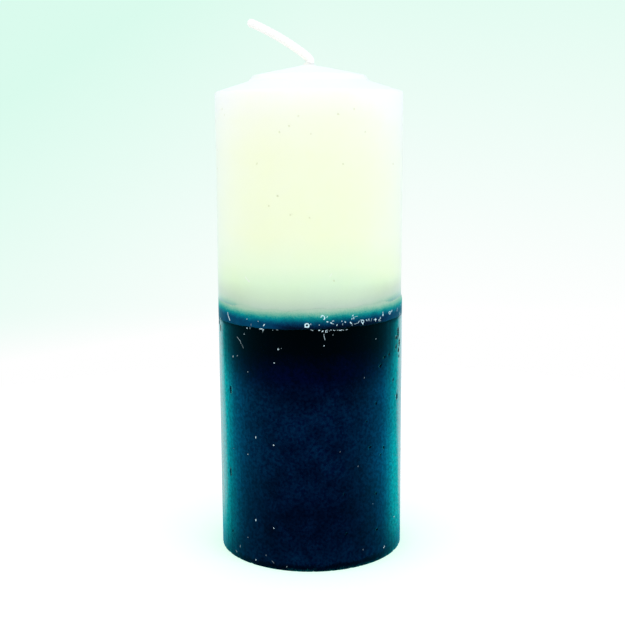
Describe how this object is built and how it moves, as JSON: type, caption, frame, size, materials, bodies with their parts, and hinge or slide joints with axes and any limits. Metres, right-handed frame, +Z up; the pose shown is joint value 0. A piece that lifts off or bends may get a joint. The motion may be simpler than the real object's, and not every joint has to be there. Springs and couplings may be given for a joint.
{
  "type": "pillar candle",
  "caption": "Free-standing pillar candle in two wax colours, ivory over navy, with a stepped top, a bendable wick and a steel tab in its base.",
  "frame": {"origin": "middle of the base, on the surface that the candle stands on", "axes": "+Z up along the candle, +X to the right of the side that faces the viewer; the wick leans toward -X"},
  "size_m": [0.0576, 0.0575, 0.1641],
  "materials": {
    "navy_wax": "paraffin wax, smooth with a soft gloss, pitted by small bubbles",
    "seeped_wax": "thin translucent film of the navy wax, pitted and ragged",
    "ivory_wax": "paraffin wax, smooth satin, slightly translucent",
    "primed_cotton": "braided cotton primed with wax",
    "tinned_steel": "bright tinned sheet"
  },
  "bodies": {
    "candle": {"lower_wax": "navy_wax", "seep_film": "seeped_wax", "upper_wax": "ivory_wax", "wick_stem": "primed_cotton", "wick_sustainer": "tinned_steel"},
    "wick": {"wick_end": "primed_cotton"}
  },
  "joints": [
    {"name": "wick_bend", "type": "hinge", "parent": "candle", "child": "wick", "pos_m": [0, 0, 0.15146], "axis": [0, 1, 0], "range_deg": [-40, 95]}
  ]
}
